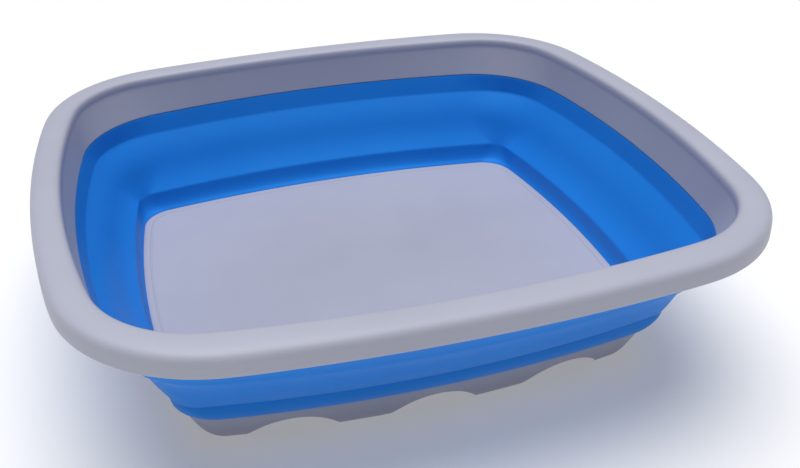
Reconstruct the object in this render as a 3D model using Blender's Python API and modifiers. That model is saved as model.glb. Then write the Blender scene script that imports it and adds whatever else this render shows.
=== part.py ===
"""Collapsible washing-up bowl: a rigid rim frame and a rigid base tray, joined by a folding rubber wall.

The bowl stands open on z = 0, long side along X. The folding wall is one rubber moulding: a collar on the rim,
a collar on the tray, and between them a wide sloped band that turns inside out as the rim is pushed down.
The band is built as nested rings whose upright faces slide past each other, one ring to each stage of the fold.
"""

import math
from typing import NamedTuple

import bmesh
import bpy
from mathutils import Vector


class Outline(NamedTuple):
    """A rounded rectangle with bowed sides, centred on Z: half sizes, how far each side bows out, corner radius."""

    half_length: float
    half_width: float
    long_bow: float
    short_bow: float
    corner: float


# Heights above the surface that the bowl stands on
HEIGHT = 0.1120
SKIRT_BOTTOM = 0.0989
COLLAR_TOP = 0.0955
SEAM = 0.0851
UPPER_CREASE = 0.0731
LOWER_CREASE = 0.0390
FLOOR = 0.0259
TRAY_SHOULDER = 0.0239
FOOT = 0.0

# Outlines, from the rim's outer edge down to the feet
RIM_EDGE = Outline(0.2005, 0.1856, 0.0201, 0.0254, 0.0866)
LIP_EDGE = Outline(0.1830, 0.1665, 0.0205, 0.0252, 0.0600)
SEAM_LINE = Outline(0.1784, 0.1616, 0.0255, 0.0229, 0.0655)
UPPER_CREASE_LINE = Outline(0.1743, 0.1565, 0.0240, 0.0222, 0.0500)
LOWER_CREASE_LINE = Outline(0.1479, 0.1302, 0.0160, 0.0134, 0.0150)
FLOOR_LINE = Outline(0.1441, 0.1234, 0.0135, 0.0116, 0.0228)
TRAY_EDGE = Outline(0.1450, 0.1247, 0.0142, 0.0122, 0.0262)
FOOT_EDGE = Outline(0.1313, 0.1114, 0.0132, 0.0105, 0.0125)

# Walls
RIM_WALL = 0.0024
RUBBER_WALL = 0.0022
COLLAR_SKIN = 0.0014
FLOOR_WALL = 0.0024
SKIRT_WALL = 0.0024
SKIRT_BULGES = ((0.0170, 0.0006), (0.0095, 0.0012), (0.0035, 0.0011))
GAP = 0.0003
SEAM_GAP = 0.0011  # the leaning wall's lower edge is square to its lean, so it reaches below its inner face
LAP_GAP = 0.0008  # the leaning wall is a little thicker measured level

# The rim's lip in section, (inset, drop below the bowl's full height): a round shoulder, a flat top, an inner roll
LIP_PROFILE = (
    (0.0, 0.0053),
    (0.0004, 0.0038),
    (0.0012, 0.0025),
    (0.0025, 0.0015),
    (0.0041, 0.0008),
    (0.0065, 0.0003),
    (0.0095, 0.0),
    (0.0140, 0.0002),
    (0.0163, 0.0008),
    (0.0176, 0.0016),
    (0.0184, 0.0028),
    (0.0189, 0.0044),
    (0.0191, 0.0068),
)
LIP_WIDTH, LIP_DEPTH = LIP_PROFILE[-1]
WALL_TOP = HEIGHT - LIP_DEPTH

# The fold
RINGS = 4
BAND_DROP = 0.0036  # upright thickness of the sloped band

# Arches between the feet
ARCH_HEIGHT = 0.0158
ARCH_HALF_SPAN = 0.0257
ARCH_PITCH = 0.0790
ARCHES_LONG = 3
ARCHES_SHORT = 2
CUTTER_LENGTH = 0.34
CUTTER_SIDES = 80

# Points round a quarter of an outline
LONG_STEPS = 4
CORNER_STEPS = 6
SHORT_STEPS = 4

GREY = (0.50, 0.50, 0.60, 1.0)
BLUE = (0.010, 0.165, 0.600, 1.0)


def grown(outline, distance):
    """The outline moved outwards by a distance, or inwards where it is negative."""
    return Outline(
        outline.half_length + distance,
        outline.half_width + distance,
        outline.long_bow,
        outline.short_bow,
        outline.corner + distance,
    )


def between(first, last, share):
    """The outline that lies a share of the way from the first to the last."""
    return Outline(*[a + (b - a) * share for a, b in zip(first, last)])


def arc(centre, radius, start, end, steps):
    """Points along an arc, leaving out the last."""
    angles = [start + (end - start) * step / steps for step in range(steps)]
    return [centre + radius * Vector((math.cos(a), math.sin(a))) for a in angles]


def quarter(outline):
    """The outline's points from the middle of its long side to the middle of its short side."""
    a, b, long_bow, short_bow, corner = outline
    long_radius = (a * a + long_bow * long_bow) / (2 * long_bow)
    short_radius = (b * b + short_bow * short_bow) / (2 * short_bow)
    long_centre = Vector((0.0, b - long_radius))
    short_centre = Vector((a - short_radius, 0.0))
    # The corner's arc touches both sides: its centre is a corner radius inside each of them.
    to_long = long_radius - corner
    to_short = short_radius - corner
    line = short_centre - long_centre
    along = (to_long**2 - to_short**2 + line.length_squared) / (2 * line.length)
    across = math.sqrt(to_long**2 - along**2)
    normal = Vector((-line.y, line.x)).normalized()
    centre = long_centre + line.normalized() * along
    centre += normal * (across if normal.x + normal.y > 0 else -across)
    from_long = centre - long_centre
    from_short = centre - short_centre
    long_end = math.atan2(from_long.y, from_long.x)
    short_start = math.atan2(from_short.y, from_short.x)
    points = arc(long_centre, long_radius, math.pi / 2, long_end, LONG_STEPS)
    points += arc(centre, corner, long_end, short_start, CORNER_STEPS)
    points += arc(short_centre, short_radius, short_start, 0.0, SHORT_STEPS)
    return points + [Vector((a, 0.0))]


def loop(outline):
    """All the outline's points, clockwise seen from above."""
    right_back = quarter(outline)
    right_front = [Vector((p.x, -p.y)) for p in reversed(right_back)]
    left_front = [Vector((-p.x, -p.y)) for p in right_back]
    left_back = [Vector((-p.x, p.y)) for p in reversed(right_back)]
    return right_back[:-1] + right_front[:-1] + left_front[:-1] + left_back[:-1]


def loft(name, sections, closed, capped, material):
    """An object whose surface runs through (outline, height) sections: closed joins the last to the first."""
    mesh = bmesh.new()
    rows = []
    for outline, height in sections:
        rows.append([mesh.verts.new((p.x, p.y, height)) for p in loop(outline)])
    pairs = list(zip(rows, rows[1:]))
    if closed:
        pairs.append((rows[-1], rows[0]))
    for lower, upper in pairs:
        for i in range(len(lower)):
            mesh.faces.new((lower[i - 1], lower[i], upper[i], upper[i - 1]))
    if capped:
        mesh.faces.new(rows[0])
        mesh.faces.new(rows[-1])
    bmesh.ops.recalc_face_normals(mesh, faces=mesh.faces)
    data = bpy.data.meshes.new(name)
    mesh.to_mesh(data)
    mesh.free()
    data.materials.append(material)
    data.shade_smooth()
    data.set_sharp_from_angle(angle=math.radians(35))
    made = bpy.data.objects.new(name, data)
    PARTS.objects.link(made)
    return made


def plastic(name, colour, roughness):
    material = bpy.data.materials.new(name)
    material.use_nodes = True
    shader = material.node_tree.nodes["Principled BSDF"]
    shader.inputs["Base Color"].default_value = colour
    shader.inputs["Roughness"].default_value = roughness
    shader.inputs["Metallic"].default_value = 0.0
    material.diffuse_color = colour
    return material


def wall_outline(height):
    """The rigid inner wall's outline at a height between the seam and the lip."""
    return between(SEAM_LINE, LIP_EDGE, (height - SEAM) / (WALL_TOP - SEAM))


def make_rim_frame():
    """The lip with its turned-down skirt and its leaning inner wall, open underneath."""
    sections = [(RIM_EDGE, SKIRT_BOTTOM)]
    for inset, drop in LIP_PROFILE:
        sections.append((between(RIM_EDGE, LIP_EDGE, inset / LIP_WIDTH), HEIGHT - drop))
    sections.append((wall_outline(SEAM + SEAM_GAP), SEAM + SEAM_GAP))
    rim = loft("rim_frame", sections, closed=False, capped=False, material=GREY_PLASTIC)
    solid = rim.modifiers.new("wall", "SOLIDIFY")
    solid.thickness = RIM_WALL
    solid.offset = -1.0
    solid.use_even_offset = True
    return rim


def make_upper_collar():
    """Rubber below the seam, with a thin skin that laps the outside of the rim's inner wall."""
    behind_wall = RIM_WALL + LAP_GAP
    sections = [
        (UPPER_CREASE_LINE, UPPER_CREASE - BAND_DROP),
        (UPPER_CREASE_LINE, UPPER_CREASE),
        (SEAM_LINE, SEAM),
        (grown(SEAM_LINE, behind_wall), SEAM),
        (grown(wall_outline(COLLAR_TOP), behind_wall), COLLAR_TOP),
        (grown(wall_outline(COLLAR_TOP), behind_wall + COLLAR_SKIN), COLLAR_TOP),
        (grown(SEAM_LINE, behind_wall + COLLAR_SKIN), SEAM),
        (grown(UPPER_CREASE_LINE, RUBBER_WALL), UPPER_CREASE),
        (grown(UPPER_CREASE_LINE, RUBBER_WALL * 0.7), UPPER_CREASE - BAND_DROP),
    ]
    return loft("wall_upper_collar", sections, closed=True, capped=False, material=BLUE_RUBBER)


def band_section(share):
    """(outline, height) on the sloped band's inner surface, from its upper crease to its lower one."""
    outline = between(UPPER_CREASE_LINE, grown(LOWER_CREASE_LINE, RUBBER_WALL), share)
    return outline, UPPER_CREASE + (LOWER_CREASE - UPPER_CREASE) * share


def make_fold_ring(index):
    """One ring of the sloped band: upright inside and outside faces, sloping top and underside."""
    outer, outer_height = band_section(index / RINGS)
    inner, inner_height = band_section((index + 1) / RINGS)
    outer = grown(outer, -GAP)
    sections = [
        (outer, outer_height - BAND_DROP),
        (outer, outer_height),
        (inner, inner_height),
        (inner, inner_height - BAND_DROP),
    ]
    name = f"wall_fold_ring_{index + 1}"
    return loft(name, sections, closed=True, capped=False, material=BLUE_RUBBER)


def make_lower_collar():
    """Rubber from the lower crease down to the tray's sloping shoulder, which it stands on."""
    sections = [
        (FLOOR_LINE, FLOOR + GAP),
        (LOWER_CREASE_LINE, LOWER_CREASE),
        (grown(LOWER_CREASE_LINE, RUBBER_WALL - GAP), LOWER_CREASE),
        (grown(LOWER_CREASE_LINE, RUBBER_WALL - GAP), LOWER_CREASE - 0.0055),
        (grown(between(TRAY_EDGE, LOWER_CREASE_LINE, 0.4), 0.0018), TRAY_SHOULDER + 0.0040),
        (TRAY_EDGE, TRAY_SHOULDER + GAP),
    ]
    return loft("wall_lower_collar", sections, closed=True, capped=False, material=BLUE_RUBBER)


def make_arch_cutter(name, turned, offset):
    """A cylinder right across the tray, whose top leaves an arch in the skirt on both sides."""
    radius = (ARCH_HALF_SPAN**2 + ARCH_HEIGHT**2) / (2 * ARCH_HEIGHT)
    bpy.ops.mesh.primitive_cylinder_add(vertices=CUTTER_SIDES, radius=radius, depth=CUTTER_LENGTH)
    cutter = bpy.context.object
    cutter.name = name
    height = ARCH_HEIGHT - radius
    if turned:
        cutter.rotation_euler = (0.0, math.pi / 2, 0.0)
        cutter.location = (0.0, offset, height)
    else:
        cutter.rotation_euler = (math.pi / 2, 0.0, 0.0)
        cutter.location = (offset, 0.0, height)
    cutter.hide_render = True
    cutter.display_type = "WIRE"
    for holder in list(cutter.users_collection):
        holder.objects.unlink(cutter)
    CUTTERS.objects.link(cutter)
    return cutter


def cut_arches(tray):
    rows = (("long", False, ARCHES_LONG), ("short", True, ARCHES_SHORT))
    for side, turned, count in rows:
        for i in range(count):
            offset = (i - (count - 1) / 2) * ARCH_PITCH
            cutter = make_arch_cutter(f"arch_{side}_{i + 1}", turned, offset)
            cut = tray.modifiers.new(cutter.name, "BOOLEAN")
            cut.operation = "DIFFERENCE"
            cut.object = cutter
            cut.solver = "EXACT"


def skirt_outline(height, bulge):
    """The tray skirt's outline at a height, standing out from a straight lean by the bulge."""
    return grown(between(FOOT_EDGE, TRAY_EDGE, height / TRAY_SHOULDER), bulge)


def make_base_tray():
    """A flat floor on a leaning skirt, whose arches leave it standing on feet."""
    under = FLOOR - FLOOR_WALL
    under_edge = grown(between(FOOT_EDGE, TRAY_EDGE, under / TRAY_SHOULDER), -SKIRT_WALL)
    sections = [(FLOOR_LINE, FLOOR), (TRAY_EDGE, TRAY_SHOULDER)]
    for height, bulge in SKIRT_BULGES:
        sections.append((skirt_outline(height, bulge), height))
    sections += [(FOOT_EDGE, FOOT), (grown(FOOT_EDGE, -SKIRT_WALL), FOOT)]
    for height, bulge in reversed(SKIRT_BULGES):
        sections.append((skirt_outline(height, bulge - SKIRT_WALL), height))
    sections.append((under_edge, under))
    tray = loft("base_tray", sections, closed=False, capped=True, material=GREY_PLASTIC)
    cut_arches(tray)
    return tray


for old in list(bpy.data.objects):
    bpy.data.objects.remove(old)

PARTS = bpy.data.collections.new("collapsible_bowl")
CUTTERS = bpy.data.collections.new("cutters")
bpy.context.scene.collection.children.link(PARTS)
bpy.context.scene.collection.children.link(CUTTERS)
GREY_PLASTIC = plastic("grey_plastic", GREY, 0.45)
BLUE_RUBBER = plastic("blue_rubber", BLUE, 0.38)

make_base_tray()
make_lower_collar()
for ring in range(RINGS):
    make_fold_ring(ring)
make_upper_collar()
make_rim_frame()
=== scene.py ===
"""Looks of the collapsible washing-up bowl: a smooth rim, one folding wall and a footed tray.

The pieces are lofts through rounded outlines with bowed sides. The folding wall is built in one
rest shape between the rim and the base; on the real bowl it turns inside out as the rim is pushed
down.
"""

import math
from typing import NamedTuple

import bmesh
import bpy
from mathutils import Matrix, Vector


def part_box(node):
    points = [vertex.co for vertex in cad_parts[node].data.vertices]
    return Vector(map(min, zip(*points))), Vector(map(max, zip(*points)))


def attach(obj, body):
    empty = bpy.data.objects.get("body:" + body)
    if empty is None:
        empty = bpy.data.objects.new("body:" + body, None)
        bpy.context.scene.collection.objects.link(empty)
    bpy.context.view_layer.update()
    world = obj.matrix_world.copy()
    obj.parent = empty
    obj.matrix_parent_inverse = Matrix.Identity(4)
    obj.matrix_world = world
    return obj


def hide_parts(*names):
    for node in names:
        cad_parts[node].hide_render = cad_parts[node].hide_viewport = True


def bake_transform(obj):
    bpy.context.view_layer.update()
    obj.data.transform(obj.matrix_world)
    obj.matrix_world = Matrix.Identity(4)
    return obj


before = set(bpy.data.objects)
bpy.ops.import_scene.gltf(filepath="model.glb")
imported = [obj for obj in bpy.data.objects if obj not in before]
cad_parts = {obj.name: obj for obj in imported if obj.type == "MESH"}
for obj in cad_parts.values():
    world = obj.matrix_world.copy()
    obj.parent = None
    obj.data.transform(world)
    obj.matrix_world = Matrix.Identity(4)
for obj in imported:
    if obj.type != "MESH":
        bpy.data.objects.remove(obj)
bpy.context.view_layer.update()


class Outline(NamedTuple):
    """A rounded rectangle centred on Z: half sizes, how far its sides bow out, corner radius."""

    half_length: float
    half_width: float
    long_bow: float
    short_bow: float
    corner: float


# Sizes that the CAD model fixes
RIM_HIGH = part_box("rim_frame")[1]
HEIGHT = RIM_HIGH.z
HALF_LENGTH = RIM_HIGH.x
HALF_WIDTH = RIM_HIGH.y
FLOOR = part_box("base_tray")[1].z
COLLAR_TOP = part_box("wall_upper_collar")[1].z

# Heights between them
WALL_TOP = HEIGHT - 0.0068
SKIRT_BOTTOM = HEIGHT - 0.0131
SEAM = HEIGHT - 0.0269
UPPER_CREASE = HEIGHT - 0.0389
LOWER_CREASE = FLOOR + 0.0131
TRAY_SHOULDER = FLOOR - 0.0020

# Outlines, from the rim's outer edge down to the feet
RIM_EDGE = Outline(HALF_LENGTH, HALF_WIDTH, 0.0201, 0.0254, 0.0866)
LIP_EDGE = Outline(0.1830, 0.1665, 0.0205, 0.0252, 0.0600)
SEAM_LINE = Outline(0.1784, 0.1616, 0.0255, 0.0229, 0.0655)
UPPER_CREASE_LINE = Outline(0.1743, 0.1565, 0.0240, 0.0222, 0.0500)
LOWER_CREASE_LINE = Outline(0.1479, 0.1302, 0.0160, 0.0134, 0.0115)
FLOOR_LINE = Outline(0.1441, 0.1234, 0.0135, 0.0116, 0.0228)
TRAY_EDGE = Outline(0.1450, 0.1247, 0.0142, 0.0122, 0.0262)
FOOT_EDGE = Outline(0.1313, 0.1114, 0.0132, 0.0105, 0.0125)

# Wall thicknesses
RIM_WALL = 0.0024
RUBBER_WALL = 0.0022
COLLAR_SKIN = 0.0014  # the rubber's lap behind the rim's wall
FLOOR_WALL = 0.0024
SKIRT_WALL = 0.0024

# Gaps
LAP_GAP = 0.0008  # between the rim's wall and the rubber's lap
SEAM_GROOVE = 0.0001  # open line between the rim's wall and the rubber
TOUCH_GAP = 0.00003  # between the rubber and the tray

# The foot skirt in section: (height, how far it stands out from a straight lean)
SKIRT_BULGES = (
    (0.0205, 0.0003),
    (0.0170, 0.0006),
    (0.0132, 0.0009),
    (0.0095, 0.0012),
    (0.0062, 0.0013),
    (0.0035, 0.0011),
    (0.0018, 0.0007),
    (0.0007, 0.0003),
)

# The lip in section: (inset, drop below the full height)
LIP_PROFILE = (
    (0.0, 0.0072),
    (0.0001, 0.0055),
    (0.0005, 0.0040),
    (0.0013, 0.0027),
    (0.0025, 0.0017),
    (0.0041, 0.0010),
    (0.0065, 0.0005),
    (0.0095, 0.0002),
    (0.0125, 0.0002),
    (0.0148, 0.0004),
    (0.0166, 0.0009),
    (0.0178, 0.0017),
    (0.0185, 0.0028),
    (0.0189, 0.0042),
    (0.0191, 0.0056),
    (0.0191, 0.0068),
)
LIP_WIDTH = LIP_PROFILE[-1][0]

# Rounded edges
EDGE_ROUND = 0.0005
SEAM_ROUND = 0.0003
FOOT_BEVEL = 0.0004

# Subdivision of the rim and the rubber
SOFT_LEVELS = 2

# Points round a quarter of an outline: long side, corner, short side
CAGE_STEPS = (7, 9, 7)
FINE_STEPS = (24, 30, 24)

# The sloped band, from the upper crease (0) down to the lower one (1)
BAND_WAVE = 0.040  # how much flatter it lies near the creases, as a share of its run inwards
BAND_CORNER_POWER = 2.6  # how late on the way down its corners tighten
BAND_OUT = 0.0017  # its thickness measured outwards
BAND_DOWN = 0.0014  # and downwards
BAND_DROPS = (0.04, 0.10, 0.20, 0.32, 0.45, 0.58, 0.70, 0.81, 0.90, 0.965)
FOLD_CORNER = 0.0166  # the lower fold's corner radius outside, softer than inside

# Arches between the feet
ARCH_HEIGHT = 0.0158
ARCH_HALF_SPAN = 0.0257
ARCH_PITCH = 0.0790
ARCHES_LONG = 3
ARCHES_SHORT = 2
CUTTER_LENGTH = 0.34
CUTTER_SIDES = 200

# The fine line round the floor, measured from the floor's edge
FLOOR_LINE_INSET = 0.0040
FLOOR_LINE_WIDTH = 0.0014
FLOOR_LINE_DEPTH = 0.0004

# The photographer's view, in metres and radians; the lens is in millimetres on a 36 mm sensor
CAMERA_PLACE = Vector((-0.1531, -0.5168, 0.3676))
CAMERA_YAW = 0.2694
CAMERA_PITCH = 0.4618
CAMERA_ROLL = -0.0256
CAMERA_LENS = 44.27
CAMERA_SHIFT = (0.0553, -0.0898)

# The studio
STAGE_DROP = 0.0002  # how far its floor lies below the feet
STAGE_GREY = 0.74
STAGE_GLOW = 0.26
ROOM_COLOUR = (0.95, 0.97, 1.0)
ROOM_LIGHT = 0.08
SUN_TOWARD = (0.02, -0.07, -1.0)
SUN_LIGHT = 2.95
SUN_ANGLE = 0.95

# Tints of the materials' highlights
PLAIN_SHEEN = (1.0, 1.0, 1.0)
BLUE_SHEEN = (0.15, 0.65, 1.0)


def grown(outline, distance):
    """The outline moved outwards by a distance, or inwards where it is negative."""
    return Outline(
        outline.half_length + distance,
        outline.half_width + distance,
        outline.long_bow,
        outline.short_bow,
        outline.corner + distance,
    )


def between(first, last, share):
    """The outline that lies a share of the way from the first to the last."""
    return Outline(*[a + (b - a) * share for a, b in zip(first, last)])


def arc(centre, radius, start, end, steps):
    """Points along an arc, leaving out the last."""
    angles = [start + (end - start) * step / steps for step in range(steps)]
    return [centre + radius * Vector((math.cos(a), math.sin(a))) for a in angles]


def quarter(outline, steps):
    """The outline's points from the middle of its long side to the middle of its short side."""
    a, b, long_bow, short_bow, corner = outline
    long_radius = (a * a + long_bow * long_bow) / (2 * long_bow)
    short_radius = (b * b + short_bow * short_bow) / (2 * short_bow)
    long_centre = Vector((0.0, b - long_radius))
    short_centre = Vector((a - short_radius, 0.0))
    # The corner's arc touches both sides: its centre is a corner radius inside each of them.
    to_long = long_radius - corner
    to_short = short_radius - corner
    line = short_centre - long_centre
    along = (to_long**2 - to_short**2 + line.length_squared) / (2 * line.length)
    across = math.sqrt(to_long**2 - along**2)
    normal = Vector((-line.y, line.x)).normalized()
    centre = long_centre + line.normalized() * along
    centre += normal * (across if normal.x + normal.y > 0 else -across)
    from_long = centre - long_centre
    from_short = centre - short_centre
    long_end = math.atan2(from_long.y, from_long.x)
    short_start = math.atan2(from_short.y, from_short.x)
    points = arc(long_centre, long_radius, math.pi / 2, long_end, steps[0])
    points += arc(centre, corner, long_end, short_start, steps[1])
    points += arc(short_centre, short_radius, short_start, 0.0, steps[2])
    return points + [Vector((a, 0.0))]


def loop(outline, steps):
    """All the outline's points, clockwise seen from above."""
    right_back = quarter(outline, steps)
    right_front = [Vector((p.x, -p.y)) for p in reversed(right_back)]
    left_front = [Vector((-p.x, -p.y)) for p in right_back]
    left_back = [Vector((-p.x, p.y)) for p in reversed(right_back)]
    return right_back[:-1] + right_front[:-1] + left_front[:-1] + left_back[:-1]


def loft(name, sections, steps, closed=False, capped=False):
    """A surface through (outline, height) sections: closed joins the last to the first."""
    mesh = bmesh.new()
    rows = []
    for outline, height in sections:
        rows.append([mesh.verts.new((p.x, p.y, height)) for p in loop(outline, steps)])
    pairs = list(zip(rows, rows[1:]))
    if closed:
        pairs.append((rows[-1], rows[0]))
    for lower, upper in pairs:
        for i in range(len(lower)):
            mesh.faces.new((lower[i - 1], lower[i], upper[i], upper[i - 1]))
    if capped:
        mesh.faces.new(rows[0])
        mesh.faces.new(rows[-1])
    bmesh.ops.recalc_face_normals(mesh, faces=mesh.faces)
    data = bpy.data.meshes.new(name)
    mesh.to_mesh(data)
    mesh.free()
    data.shade_smooth()
    made = bpy.data.objects.new(name, data)
    bpy.context.scene.collection.objects.link(made)
    return made


def applied(obj):
    """The object with its modifiers worked into its mesh."""
    graph = bpy.context.evaluated_depsgraph_get()
    data = bpy.data.meshes.new_from_object(obj.evaluated_get(graph))
    obj.modifiers.clear()
    obj.data = data
    return obj


def subdivided(obj, levels):
    modifier = obj.modifiers.new("smooth", "SUBSURF")
    modifier.levels = levels
    modifier.render_levels = levels
    return applied(obj)


# ---------------------------------------------------------------- shapes


def lip_outline(inset):
    return between(RIM_EDGE, LIP_EDGE, inset / LIP_WIDTH)


def wall_outline(height):
    """The rigid inner wall's outline at a height between the seam and the lip."""
    return between(SEAM_LINE, LIP_EDGE, (height - SEAM) / (WALL_TOP - SEAM))


def make_rim():
    """The lip, its turned-down skirt and the inner wall, as one closed profile."""
    sections = [
        (lip_outline(EDGE_ROUND), SKIRT_BOTTOM),
        (lip_outline(0.0), SKIRT_BOTTOM + EDGE_ROUND),
        (lip_outline(0.0), SKIRT_BOTTOM + 3 * EDGE_ROUND),
    ]
    sections += [(lip_outline(inset), HEIGHT - drop) for inset, drop in LIP_PROFILE]
    wall_foot = SEAM + SEAM_GROOVE
    for share in (0.12, 0.35, 0.6, 0.85):
        height = WALL_TOP + (wall_foot - WALL_TOP) * share
        sections.append((wall_outline(height), height))
    sections += [
        (wall_outline(wall_foot + SEAM_ROUND), wall_foot + SEAM_ROUND),
        (grown(wall_outline(wall_foot), SEAM_ROUND / 2), wall_foot),
        (grown(wall_outline(wall_foot), RIM_WALL - SEAM_ROUND / 2), wall_foot),
        (grown(wall_outline(wall_foot + SEAM_ROUND), RIM_WALL), wall_foot + SEAM_ROUND),
    ]
    for share in (0.5, 0.9):
        height = wall_foot + (WALL_TOP - wall_foot) * share
        sections.append((grown(wall_outline(height), RIM_WALL), height))
    ceiling = HEIGHT - RIM_WALL
    sections += [
        (lip_outline(LIP_WIDTH - RIM_WALL - 0.0004), ceiling - 0.0050),
        (lip_outline(LIP_WIDTH - RIM_WALL - 0.0014), ceiling - 0.0024),
        (lip_outline(0.0086), ceiling - 0.0004),
        (lip_outline(RIM_WALL + 0.0030), ceiling - 0.0014),
        (lip_outline(RIM_WALL + 0.0008), ceiling - 0.0034),
        (lip_outline(RIM_WALL), ceiling - 0.0058),
        (lip_outline(RIM_WALL), SKIRT_BOTTOM + EDGE_ROUND),
        (lip_outline(RIM_WALL - EDGE_ROUND), SKIRT_BOTTOM),
    ]
    return subdivided(loft("rim", sections, CAGE_STEPS, closed=True), SOFT_LEVELS)


def band_outline(drop):
    """The sloped band's inner outline a share of the way down: its corners are tight low down."""
    across = drop + BAND_WAVE * math.sin(2 * math.pi * drop)
    sides = between(UPPER_CREASE_LINE, LOWER_CREASE_LINE, across)
    top, bottom = UPPER_CREASE_LINE.corner, LOWER_CREASE_LINE.corner
    return sides._replace(corner=top + (bottom - top) * drop**BAND_CORNER_POWER)


def make_folding_wall():
    """The rubber moulding: an upper collar, the band that turns inside out and a lower collar."""
    behind = RIM_WALL + LAP_GAP
    band_height = UPPER_CREASE - LOWER_CREASE
    sections = [
        (grown(SEAM_LINE, 0.0003), SEAM),
        (SEAM_LINE, SEAM - 0.0004),
        (between(SEAM_LINE, UPPER_CREASE_LINE, 0.30), SEAM + (UPPER_CREASE - SEAM) * 0.30),
        (between(SEAM_LINE, UPPER_CREASE_LINE, 0.62), SEAM + (UPPER_CREASE - SEAM) * 0.62),
        (between(SEAM_LINE, UPPER_CREASE_LINE, 0.92), SEAM + (UPPER_CREASE - SEAM) * 0.92),
        (UPPER_CREASE_LINE, UPPER_CREASE),
    ]
    inside = [(band_outline(drop), UPPER_CREASE - band_height * drop) for drop in BAND_DROPS]
    sections += inside
    crest = LOWER_CREASE_LINE
    fold = grown(crest, RUBBER_WALL)._replace(corner=FOLD_CORNER)
    lap = TRAY_SHOULDER + TOUCH_GAP
    halfway = between(UPPER_CREASE_LINE, SEAM_LINE, 0.5)
    sections += [
        (crest, LOWER_CREASE),
        (between(crest, FLOOR_LINE, 0.06), LOWER_CREASE - 0.0008),
        (between(crest, FLOOR_LINE, 0.15), LOWER_CREASE - 0.0040),
        (between(crest, FLOOR_LINE, 0.32), LOWER_CREASE - 0.0078),
        (between(crest, FLOOR_LINE, 0.60), LOWER_CREASE - 0.0108),
        (between(crest, FLOOR_LINE, 0.90), FLOOR + 0.0009),
        (FLOOR_LINE, FLOOR + TOUCH_GAP + 0.0001),
        (FLOOR_LINE, FLOOR + TOUCH_GAP),
        (between(FLOOR_LINE, TRAY_EDGE, 0.1), FLOOR + TOUCH_GAP - 0.0002),
        (between(FLOOR_LINE, TRAY_EDGE, 0.9), lap + 0.0002),
        (TRAY_EDGE, lap),
        (TRAY_EDGE, lap + 0.0001),
        (grown(TRAY_EDGE, 0.0007), lap + 0.0004),
        (grown(between(TRAY_EDGE, fold, 0.30), 0.0012), lap + 0.0030),
        (grown(between(TRAY_EDGE, fold, 0.65), 0.0010), lap + 0.0070),
        (between(TRAY_EDGE, fold, 0.95), LOWER_CREASE - 0.0045),
        (fold, LOWER_CREASE - 0.0010),
        (grown(fold, -0.0003), LOWER_CREASE + 0.0006),
    ]
    for outline, height in reversed(inside):
        sections.append((grown(outline, BAND_OUT), height - BAND_DOWN))
    sections += [
        (grown(UPPER_CREASE_LINE, RUBBER_WALL * 0.6), UPPER_CREASE - 0.0014),
        (grown(UPPER_CREASE_LINE, RUBBER_WALL * 0.9), UPPER_CREASE + 0.0008),
        (grown(halfway, RUBBER_WALL + 0.0006), UPPER_CREASE + 0.0060),
        (grown(SEAM_LINE, behind + COLLAR_SKIN - 0.0004), SEAM - 0.0006),
        (grown(wall_outline(SEAM + 0.003), behind + COLLAR_SKIN), SEAM + 0.003),
        (grown(wall_outline(COLLAR_TOP - 0.0005), behind + COLLAR_SKIN), COLLAR_TOP - 0.0005),
        (grown(wall_outline(COLLAR_TOP), behind + COLLAR_SKIN / 2), COLLAR_TOP),
        (grown(wall_outline(COLLAR_TOP), behind), COLLAR_TOP - 0.0004),
        (grown(wall_outline(SEAM + 0.002), behind), SEAM + 0.002),
        (grown(SEAM_LINE, behind), SEAM + 0.0002),
        (grown(SEAM_LINE, behind - 0.0006), SEAM),
    ]
    return subdivided(loft("folding_wall", sections, CAGE_STEPS, closed=True), SOFT_LEVELS)


def make_arch_cutter(turned, offset):
    """A cylinder right across the tray, whose top leaves an arch in the skirt on both sides."""
    radius = (ARCH_HALF_SPAN**2 + ARCH_HEIGHT**2) / (2 * ARCH_HEIGHT)
    mesh = bmesh.new()
    bmesh.ops.create_cone(
        mesh,
        cap_ends=True,
        segments=CUTTER_SIDES,
        radius1=radius,
        radius2=radius,
        depth=CUTTER_LENGTH,
    )
    place = (0.0, offset) if turned else (offset, 0.0)
    mesh.transform(Matrix.Rotation(math.pi / 2, 4, "Y" if turned else "X"))
    mesh.transform(Matrix.Translation((*place, ARCH_HEIGHT - radius)))
    data = bpy.data.meshes.new("arch_cutter")
    mesh.to_mesh(data)
    mesh.free()
    cutter = bpy.data.objects.new("arch_cutter", data)
    bpy.context.scene.collection.objects.link(cutter)
    return cutter


def skirt_outline(height, bulge):
    """The tray skirt's outline at a height, standing out from a straight lean by the bulge."""
    return grown(between(FOOT_EDGE, TRAY_EDGE, height / TRAY_SHOULDER), bulge)


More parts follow.
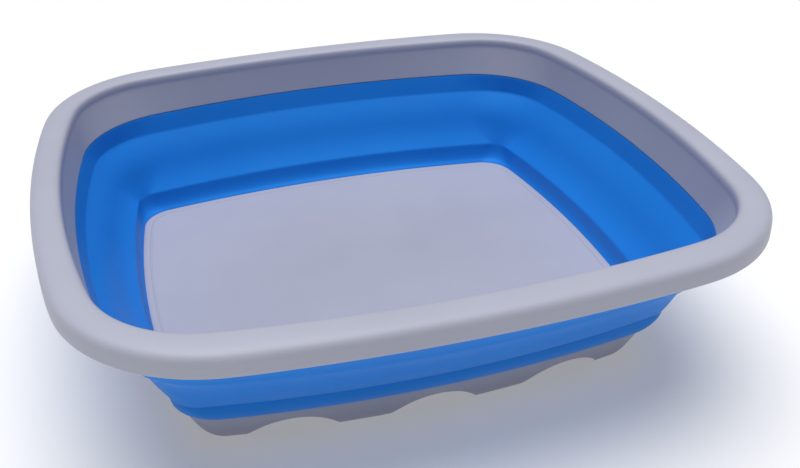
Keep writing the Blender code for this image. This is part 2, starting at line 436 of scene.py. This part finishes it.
def make_tray():
    """The flat floor with its border line, on a leaning skirt cut into feet by arches."""
    under = FLOOR - FLOOR_WALL
    under_edge = grown(between(FOOT_EDGE, TRAY_EDGE, under / TRAY_SHOULDER), -SKIRT_WALL)
    line = grown(FLOOR_LINE, -FLOOR_LINE_INSET)
    sections = [
        (grown(line, -FLOOR_LINE_WIDTH), FLOOR),
        (grown(line, -FLOOR_LINE_WIDTH * 0.65), FLOOR - FLOOR_LINE_DEPTH),
        (grown(line, -FLOOR_LINE_WIDTH * 0.35), FLOOR - FLOOR_LINE_DEPTH),
        (line, FLOOR),
        (FLOOR_LINE, FLOOR),
        (TRAY_EDGE, TRAY_SHOULDER),
    ]
    for height, bulge in SKIRT_BULGES:
        sections.append((skirt_outline(height, bulge), height))
    sections += [(FOOT_EDGE, 0.0), (grown(FOOT_EDGE, -SKIRT_WALL), 0.0)]
    for height, bulge in reversed(SKIRT_BULGES):
        sections.append((skirt_outline(height, bulge - SKIRT_WALL), height))
    sections.append((under_edge, under))
    tray = loft("tray", sections, FINE_STEPS, capped=True)
    cutters = []
    for turned, count in ((False, ARCHES_LONG), (True, ARCHES_SHORT)):
        for i in range(count):
            cutters.append(make_arch_cutter(turned, (i - (count - 1) / 2) * ARCH_PITCH))
    for cutter in cutters:
        cut = tray.modifiers.new("arch", "BOOLEAN")
        cut.operation = "DIFFERENCE"
        cut.object = cutter
        cut.solver = "EXACT"
    bevel = tray.modifiers.new("edges", "BEVEL")
    bevel.width = FOOT_BEVEL
    bevel.segments = 2
    bevel.limit_method = "ANGLE"
    bevel.angle_limit = math.radians(50)
    applied(tray)
    for cutter in cutters:
        bpy.data.objects.remove(cutter)
    tray.data.shade_smooth()
    tray.data.set_sharp_from_angle(angle=math.radians(30))
    return tray


# ---------------------------------------------------------------- materials


def shader_of(name, roughness, specular, tint=PLAIN_SHEEN):
    material = bpy.data.materials.new(name)
    material.use_nodes = True
    shader = material.node_tree.nodes["Principled BSDF"]
    shader.inputs["Roughness"].default_value = roughness
    shader.inputs["Specular IOR Level"].default_value = specular
    shader.inputs["Specular Tint"].default_value = (*tint, 1.0)
    return material, shader


def noise(tree, scale, detail, roughness=0.5):
    place = tree.nodes.new("ShaderNodeTexCoord")
    made = tree.nodes.new("ShaderNodeTexNoise")
    made.inputs["Scale"].default_value = scale
    made.inputs["Detail"].default_value = detail
    made.inputs["Roughness"].default_value = roughness
    tree.links.new(place.outputs["Object"], made.inputs["Vector"])
    return made


def ranged(tree, source, low, high):
    """The source's 0.3 to 0.7 stretched over low to high."""
    made = tree.nodes.new("ShaderNodeMapRange")
    made.inputs["From Min"].default_value = 0.3
    made.inputs["From Max"].default_value = 0.7
    made.inputs["To Min"].default_value = low
    made.inputs["To Max"].default_value = high
    tree.links.new(source, made.inputs["Value"])
    return made.outputs["Result"]


def moulded(name, pale, deep, roughness, specular, tint, grain, grain_depth):
    """A moulded plastic or rubber: faint cloudy colour, uneven gloss and a fine grain."""
    material, shader = shader_of(name, roughness, specular, tint)
    tree = material.node_tree
    cloud = noise(tree, 9.0, 3.0)
    ramp = tree.nodes.new("ShaderNodeValToRGB")
    ramp.color_ramp.elements[0].position = 0.35
    ramp.color_ramp.elements[0].color = (*deep, 1.0)
    ramp.color_ramp.elements[1].position = 0.65
    ramp.color_ramp.elements[1].color = (*pale, 1.0)
    tree.links.new(cloud.outputs["Fac"], ramp.inputs["Fac"])
    tree.links.new(ramp.outputs["Color"], shader.inputs["Base Color"])
    smear = noise(tree, 35.0, 4.0, 0.6)
    gloss = ranged(tree, smear.outputs["Fac"], roughness - 0.04, roughness + 0.05)
    tree.links.new(gloss, shader.inputs["Roughness"])
    fine = noise(tree, grain, 2.0, 0.6)
    bump = tree.nodes.new("ShaderNodeBump")
    bump.inputs["Strength"].default_value = 0.35
    bump.inputs["Distance"].default_value = grain_depth
    tree.links.new(fine.outputs["Fac"], bump.inputs["Height"])
    tree.links.new(bump.outputs["Normal"], shader.inputs["Normal"])
    return material


def paint(obj, material):
    obj.data.materials.clear()
    obj.data.materials.append(material)


# ---------------------------------------------------------------- setting


def make_camera():
    """A camera with the photographer's place, direction and roll."""
    forward = Vector(
        (
            math.sin(CAMERA_YAW) * math.cos(CAMERA_PITCH),
            math.cos(CAMERA_YAW) * math.cos(CAMERA_PITCH),
            -math.sin(CAMERA_PITCH),
        )
    )
    level_right = forward.cross(Vector((0, 0, 1))).normalized()
    level_up = level_right.cross(forward)
    right = math.cos(CAMERA_ROLL) * level_right + math.sin(CAMERA_ROLL) * level_up
    up = math.cos(CAMERA_ROLL) * level_up - math.sin(CAMERA_ROLL) * level_right
    data = bpy.data.cameras.new("camera")
    data.sensor_width = 36.0
    data.lens = CAMERA_LENS
    data.shift_x, data.shift_y = CAMERA_SHIFT
    data.clip_start = 0.01
    camera = bpy.data.objects.new("camera", data)
    turn = Matrix((right, up, -forward)).transposed()
    camera.matrix_world = Matrix.Translation(CAMERA_PLACE) @ turn.to_4x4()
    bpy.context.scene.collection.objects.link(camera)
    bpy.context.scene.camera = camera


def soft_sun(name, toward, strength, angle):
    """A very wide sun: the even light of a big overhead softbox."""
    data = bpy.data.lights.new(name, "SUN")
    data.energy = strength
    data.angle = angle
    light = bpy.data.objects.new(name, data)
    light.rotation_euler = Vector(toward).to_track_quat("-Z", "Y").to_euler()
    bpy.context.scene.collection.objects.link(light)


def make_studio():
    """A pale floor under a large soft overhead light, in a white room."""
    mesh = bmesh.new()
    bmesh.ops.create_grid(mesh, x_segments=1, y_segments=1, size=6.0)
    data = bpy.data.meshes.new("studio_floor")
    mesh.to_mesh(data)
    mesh.free()
    floor = bpy.data.objects.new("studio_floor", data)
    floor.location.z = -STAGE_DROP
    bpy.context.scene.collection.objects.link(floor)
    material, shader = shader_of("studio_floor", 0.9, 0.1)
    shader.inputs["Base Color"].default_value = (STAGE_GREY, STAGE_GREY, STAGE_GREY, 1.0)
    shader.inputs["Emission Color"].default_value = (1.0, 1.0, 1.0, 1.0)
    shader.inputs["Emission Strength"].default_value = STAGE_GLOW
    paint(floor, material)
    world = bpy.data.worlds.new("room")
    world.use_nodes = True
    background = world.node_tree.nodes["Background"]
    background.inputs["Color"].default_value = (*ROOM_COLOUR, 1.0)
    background.inputs["Strength"].default_value = ROOM_LIGHT
    bpy.context.scene.world = world
    soft_sun("overhead", SUN_TOWARD, SUN_LIGHT, SUN_ANGLE)
    bpy.context.scene.view_settings.view_transform = "Standard"


# ---------------------------------------------------------------- the bowl

GREY_RIM = moulded(
    "grey_rim",
    pale=(0.490, 0.505, 0.615),
    deep=(0.465, 0.480, 0.590),
    roughness=0.45,
    specular=0.32,
    tint=PLAIN_SHEEN,
    grain=2600.0,
    grain_depth=0.00004,
)
GREY_TRAY = moulded(
    "grey_tray",
    pale=(0.410, 0.425, 0.530),
    deep=(0.385, 0.400, 0.505),
    roughness=0.48,
    specular=0.32,
    tint=PLAIN_SHEEN,
    grain=2600.0,
    grain_depth=0.00004,
)
BLUE_RUBBER = moulded(
    "blue_rubber",
    pale=(0.018, 0.234, 0.800),
    deep=(0.015, 0.218, 0.770),
    roughness=0.50,
    specular=0.38,
    tint=BLUE_SHEEN,
    grain=3000.0,
    grain_depth=0.00003,
)

make_camera()
make_studio()

rim = make_rim()
paint(rim, GREY_RIM)
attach(rim, "rim")
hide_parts("rim_frame")

folding_wall = make_folding_wall()
paint(folding_wall, BLUE_RUBBER)
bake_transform(folding_wall)
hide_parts("wall_upper_collar", "wall_lower_collar")
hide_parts(*[f"wall_fold_ring_{i}" for i in (1, 2, 3, 4)])

tray = make_tray()
paint(tray, GREY_TRAY)
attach(tray, "base")
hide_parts("base_tray")
